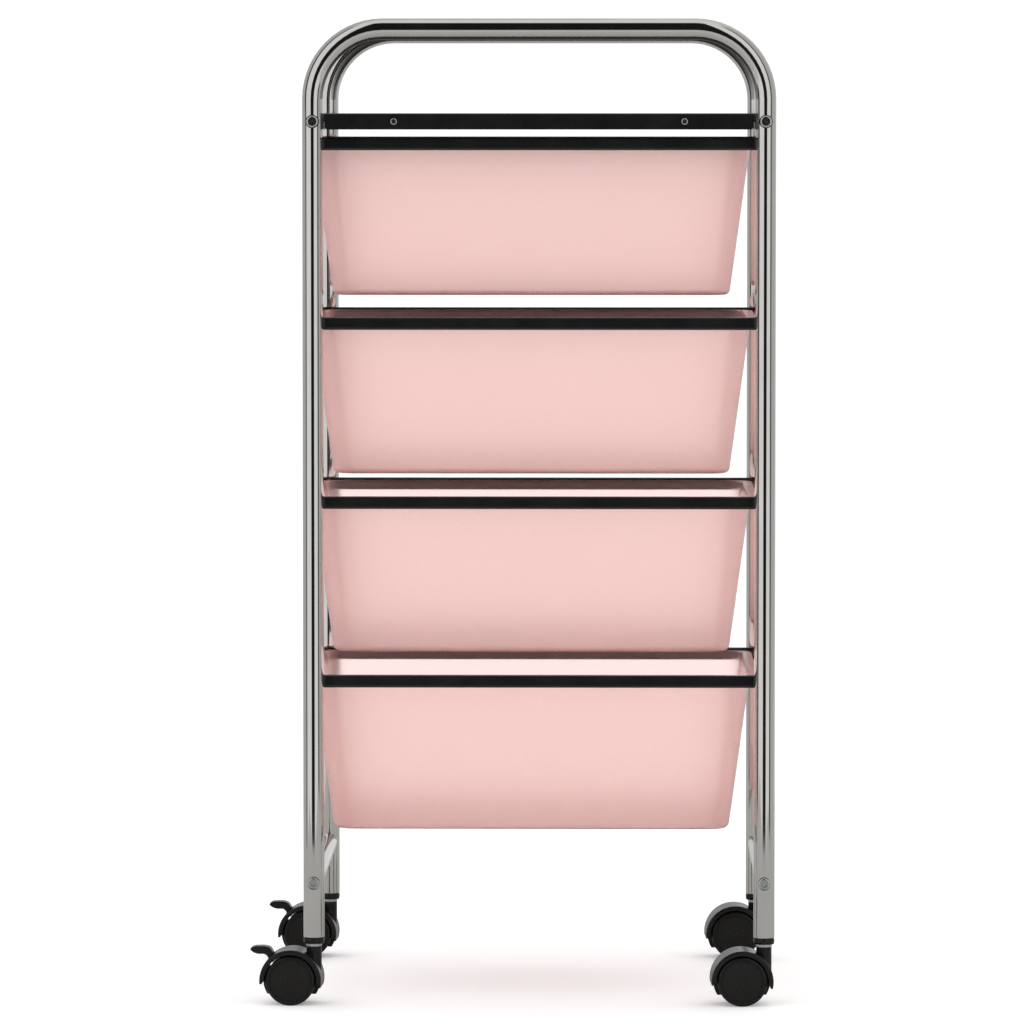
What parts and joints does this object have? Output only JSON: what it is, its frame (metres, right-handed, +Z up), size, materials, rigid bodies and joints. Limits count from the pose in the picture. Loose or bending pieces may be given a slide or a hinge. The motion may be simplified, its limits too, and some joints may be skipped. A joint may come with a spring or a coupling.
{
  "type": "storage trolley",
  "caption": "Rolling storage trolley with bent chrome tube side frames, a flat black top shelf, open translucent drawers on channel rails and swivel casters with foot brakes",
  "frame": {"origin": "on the floor under the middle of the outline, brake levers included, with the front casters trailing forwards; the middle of the tube frames is 21.4 mm behind it", "axes": "+Z up, +X to the trolley's right as seen from the front, -Y to the front, where the drawers pull out"},
  "size_m": [0.3422, 0.4229, 0.7935],
  "materials": {
    "chrome_tube": "polished chrome plate",
    "black_paint": "satin black powder coat",
    "pink_plastic": "translucent frosted polypropylene",
    "black_plastic": "moulded, fine grain",
    "wheel_plastic": "moulded, slightly worn tread",
    "zinc_steel": "bright zinc plate",
    "black_steel": "blackened pin"
  },
  "bodies": {
    "cart_frame": {"frame_left": "chrome_tube", "frame_right": "chrome_tube", "cross_tube_top_front": "chrome_tube", "cross_tube_top_rear": "chrome_tube", "cross_tube_bottom_front": "chrome_tube", "cross_tube_bottom_rear": "chrome_tube", "cross_tube_inserts": "zinc_steel", "frame_screws": "zinc_steel", "rail_screws": "zinc_steel", "rail_1_left": "black_paint", "rail_1_right": "black_paint", "rail_2_left": "black_paint", "rail_2_right": "black_paint", "rail_3_left": "black_paint", "rail_3_right": "black_paint", "rail_4_left": "black_paint", "rail_4_right": "black_paint", "shelf_tray": "black_paint", "shelf_stiffener_front": "black_paint", "shelf_stiffener_rear": "black_paint", "shelf_rivets": "zinc_steel", "shelf_screws": "zinc_steel", "tube_plug_front_left": "black_plastic", "caster_stem_front_left": "zinc_steel", "tube_plug_front_right": "black_plastic", "caster_stem_front_right": "zinc_steel", "tube_plug_rear_left": "black_plastic", "caster_stem_rear_left": "zinc_steel", "tube_plug_rear_right": "black_plastic", "caster_stem_rear_right": "zinc_steel"},
    "drawer_1_body": {"drawer_1": "pink_plastic"},
    "drawer_2_body": {"drawer_2": "pink_plastic"},
    "drawer_3_body": {"drawer_3": "pink_plastic"},
    "drawer_4_body": {"drawer_4": "pink_plastic"},
    "caster_front_left_body": {"caster_hood_front_left": "black_plastic", "caster_axle_front_left": "zinc_steel", "brake_pin_front_left": "black_steel"},
    "wheel_front_left_right_body": {"wheel_front_left_right": "wheel_plastic"},
    "wheel_front_left_left_body": {"wheel_front_left_left": "wheel_plastic"},
    "brake_lever_front_left_body": {"brake_lever_front_left": "black_plastic"},
    "caster_front_right_body": {"caster_hood_front_right": "black_plastic", "caster_axle_front_right": "zinc_steel", "brake_pin_front_right": "black_steel"},
    "wheel_front_right_right_body": {"wheel_front_right_right": "wheel_plastic"},
    "wheel_front_right_left_body": {"wheel_front_right_left": "wheel_plastic"},
    "brake_lever_front_right_body": {"brake_lever_front_right": "black_plastic"},
    "caster_rear_left_body": {"caster_hood_rear_left": "black_plastic", "caster_axle_rear_left": "zinc_steel"},
    "wheel_rear_left_right_body": {"wheel_rear_left_right": "wheel_plastic"},
    "wheel_rear_left_left_body": {"wheel_rear_left_left": "wheel_plastic"},
    "caster_rear_right_body": {"caster_hood_rear_right": "black_plastic", "caster_axle_rear_right": "zinc_steel"},
    "wheel_rear_right_right_body": {"wheel_rear_right_right": "wheel_plastic"},
    "wheel_rear_right_left_body": {"wheel_rear_right_left": "wheel_plastic"}
  },
  "joints": [
    {"name": "drawer_1_slide", "type": "slide", "parent": "cart_frame", "child": "drawer_1_body", "axis": [0, -1, 0], "range_m": [0, 0.24]},
    {"name": "drawer_2_slide", "type": "slide", "parent": "cart_frame", "child": "drawer_2_body", "axis": [0, -1, 0], "range_m": [0, 0.24]},
    {"name": "drawer_3_slide", "type": "slide", "parent": "cart_frame", "child": "drawer_3_body", "axis": [0, -1, 0], "range_m": [0, 0.24]},
    {"name": "drawer_4_slide", "type": "slide", "parent": "cart_frame", "child": "drawer_4_body", "axis": [0, -1, 0], "range_m": [0, 0.24]},
    {"name": "caster_front_left_swivel", "type": "hinge", "parent": "cart_frame", "child": "caster_front_left_body", "pos_m": [-0.1515, -0.16015, 0.0505], "axis": [0, 0, 1], "continuous": true},
    {"name": "wheel_front_left_right_spin", "type": "hinge", "parent": "caster_front_left_body", "child": "wheel_front_left_right_body", "pos_m": [-0.15229, -0.17813, 0.02], "axis": [0.999, -0.0436, 0], "continuous": true},
    {"name": "wheel_front_left_left_spin", "type": "hinge", "parent": "caster_front_left_body", "child": "wheel_front_left_left_body", "pos_m": [-0.15229, -0.17813, 0.02], "axis": [0.999, -0.0436, 0], "continuous": true},
    {"name": "brake_lever_front_left_press", "type": "hinge", "parent": "caster_front_left_body", "child": "brake_lever_front_left_body", "pos_m": [-0.15298, -0.19402, 0.03591], "axis": [0.999, -0.0436, 0], "range_deg": [0, 20]},
    {"name": "caster_front_right_swivel", "type": "hinge", "parent": "cart_frame", "child": "caster_front_right_body", "pos_m": [0.1515, -0.16015, 0.0505], "axis": [0, 0, 1], "continuous": true},
    {"name": "wheel_front_right_right_spin", "type": "hinge", "parent": "caster_front_right_body", "child": "wheel_front_right_right_body", "pos_m": [0.15071, -0.17813, 0.02], "axis": [0.999, -0.0436, 0], "continuous": true},
    {"name": "wheel_front_right_left_spin", "type": "hinge", "parent": "caster_front_right_body", "child": "wheel_front_right_left_body", "pos_m": [0.15071, -0.17813, 0.02], "axis": [0.999, -0.0436, 0], "continuous": true},
    {"name": "brake_lever_front_right_press", "type": "hinge", "parent": "caster_front_right_body", "child": "brake_lever_front_right_body", "pos_m": [0.15002, -0.19402, 0.03591], "axis": [0.999, -0.0436, 0], "range_deg": [0, 20]},
    {"name": "caster_rear_left_swivel", "type": "hinge", "parent": "cart_frame", "child": "caster_rear_left_body", "pos_m": [-0.1515, 0.20286, 0.0505], "axis": [0, 0, 1], "continuous": true},
    {"name": "wheel_rear_left_right_spin", "type": "hinge", "parent": "caster_rear_left_body", "child": "wheel_rear_left_right_body", "pos_m": [-0.15087, 0.18487, 0.02], "axis": [0.9994, 0.0349, 0], "continuous": true},
    {"name": "wheel_rear_left_left_spin", "type": "hinge", "parent": "caster_rear_left_body", "child": "wheel_rear_left_left_body", "pos_m": [-0.15087, 0.18487, 0.02], "axis": [0.9994, 0.0349, 0], "continuous": true},
    {"name": "caster_rear_right_swivel", "type": "hinge", "parent": "cart_frame", "child": "caster_rear_right_body", "pos_m": [0.1515, 0.20286, 0.0505], "axis": [0, 0, 1], "continuous": true},
    {"name": "wheel_rear_right_right_spin", "type": "hinge", "parent": "caster_rear_right_body", "child": "wheel_rear_right_right_body", "pos_m": [0.15213, 0.18487, 0.02], "axis": [0.9994, 0.0349, 0], "continuous": true},
    {"name": "wheel_rear_right_left_spin", "type": "hinge", "parent": "caster_rear_right_body", "child": "wheel_rear_right_left_body", "pos_m": [0.15213, 0.18487, 0.02], "axis": [0.9994, 0.0349, 0], "continuous": true}
  ]
}
